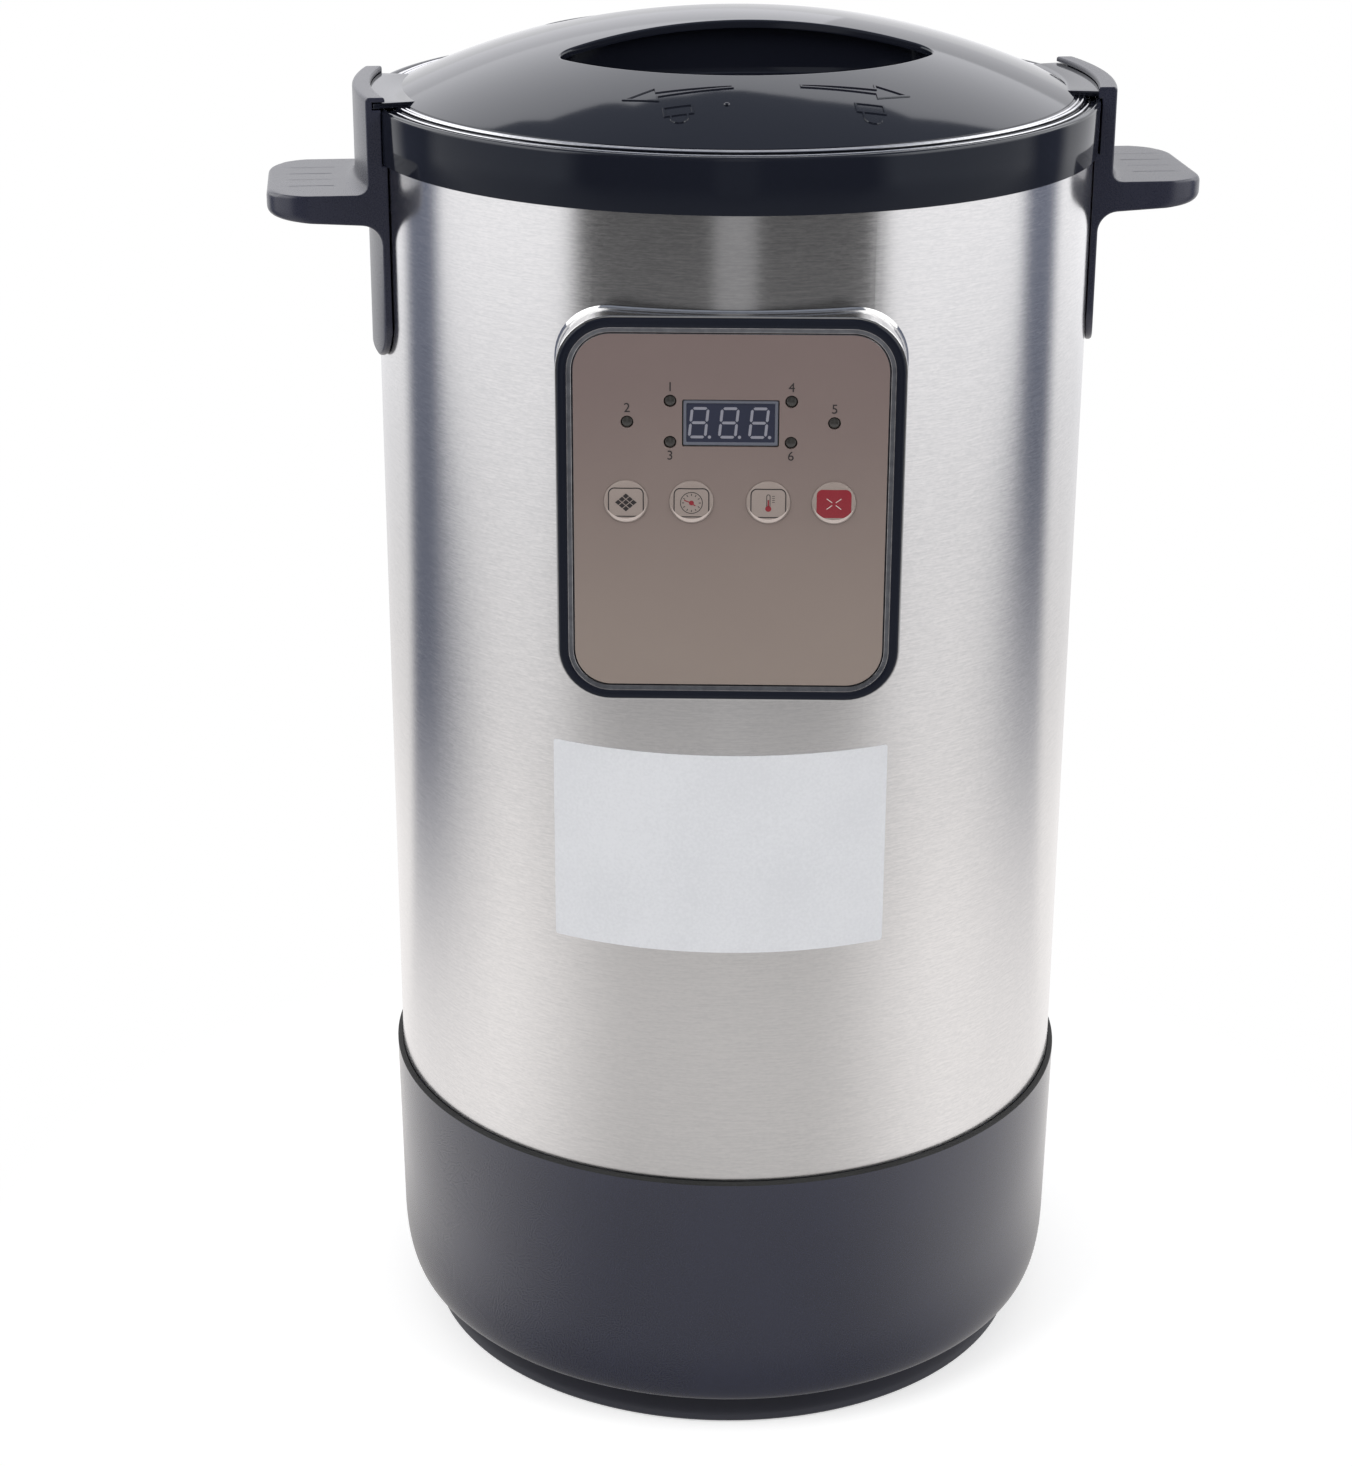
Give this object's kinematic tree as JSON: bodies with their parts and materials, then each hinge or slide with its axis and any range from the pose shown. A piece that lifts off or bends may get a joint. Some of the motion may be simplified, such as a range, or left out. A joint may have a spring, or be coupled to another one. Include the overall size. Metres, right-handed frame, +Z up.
{
  "type": "yogurt maker",
  "caption": "Tall cylindrical yogurt maker and fermenter: brushed steel barrel on a dark moulded base, bayonet dome lid with finger pockets, side handles and a front control panel.",
  "frame": {"origin": "on the barrel's axis, at the height of the undersides of the feet", "axes": "+Z up along the barrel's axis, -Y out of the control panel, +X to the panel's right as one faces it"},
  "size_m": [0.3334, 0.2661, 0.5065],
  "materials": {
    "brushed_steel": "brushed, grain around the barrel",
    "base_plastic": "satin moulding",
    "ring_plastic": "matt moulding",
    "gloss_black": "gloss moulding",
    "handle_black": "satin moulding",
    "polished_steel": "polished",
    "bronze_film": "bronze lacquer",
    "display_window": "clear dark window",
    "lamp_plastic": "smoked lens, unlit",
    "button_plastic": "gloss dome",
    "rubber": "matt",
    "silicone": "translucent white",
    "felt": "pressed felt",
    "aluminium": "cast",
    "brass": "plain",
    "circuit_board": "solder resist",
    "component_plastic": "moulded",
    "transformer_iron": "potted core",
    "relay_plastic": "moulded",
    "ceramic": "plain",
    "cable_insulation": "ribbon"
  },
  "bodies": {
    "housing": {"barrel": "brushed_steel", "base_plate": "ring_plastic", "base_screw_1": "polished_steel", "base_screw_2": "polished_steel", "base_screw_3": "polished_steel", "base_screw_4": "polished_steel", "base_shell": "base_plastic", "collar": "gloss_black", "control_board": "circuit_board", "display_module": "display_window", "handle_left": "handle_black", "handle_right": "handle_black", "handle_screw_1": "polished_steel", "handle_screw_2": "polished_steel", "handle_screw_3": "polished_steel", "handle_screw_4": "polished_steel", "heater_relay": "relay_plastic", "heating_plate": "aluminium", "indicator_lamp_1": "lamp_plastic", "indicator_lamp_2": "lamp_plastic", "indicator_lamp_3": "lamp_plastic", "indicator_lamp_4": "lamp_plastic", "indicator_lamp_5": "lamp_plastic", "indicator_lamp_6": "lamp_plastic", "inlet_pin_1": "brass", "inlet_pin_2": "brass", "inlet_pin_3": "brass", "inner_lid": "polished_steel", "inner_tank": "polished_steel", "insulation_sleeve": "felt", "lid_seal": "silicone", "panel_bezel": "gloss_black", "panel_faceplate": "bronze_film", "power_board": "circuit_board", "power_inlet": "component_plastic", "ribbon_cable": "cable_insulation", "rubber_foot_1": "rubber", "rubber_foot_2": "rubber", "rubber_foot_3": "rubber", "rubber_foot_4": "rubber", "supply_capacitor": "component_plastic", "switch_1": "component_plastic", "switch_2": "component_plastic", "switch_3": "component_plastic", "switch_4": "component_plastic", "tank_gasket": "silicone", "temperature_sensor": "polished_steel", "thermal_fuse": "ceramic", "transformer": "transformer_iron"},
    "lid": {"lid_cover": "gloss_black", "lid_washer": "component_plastic", "lid_screw": "polished_steel"},
    "button_1": {"button_1": "button_plastic"},
    "button_2": {"button_2": "button_plastic"},
    "button_3": {"button_3": "button_plastic"},
    "button_4": {"button_4": "button_plastic"}
  },
  "joints": [
    {"name": "lid_turn", "type": "hinge", "parent": "housing", "child": "lid", "pos_m": [0, 0, 0.479], "axis": [0, 0, 1], "range_deg": [0, 33]},
    {"name": "button_press_1", "type": "slide", "parent": "housing", "child": "button_1", "axis": [0, 1, 0], "range_m": [0, 0.0008], "stiffness_N_per_m": 1500},
    {"name": "button_press_2", "type": "slide", "parent": "housing", "child": "button_2", "axis": [0, 1, 0], "range_m": [0, 0.0008], "stiffness_N_per_m": 1500},
    {"name": "button_press_3", "type": "slide", "parent": "housing", "child": "button_3", "axis": [0, 1, 0], "range_m": [0, 0.0008], "stiffness_N_per_m": 1500},
    {"name": "button_press_4", "type": "slide", "parent": "housing", "child": "button_4", "axis": [0, 1, 0], "range_m": [0, 0.0008], "stiffness_N_per_m": 1500}
  ]
}
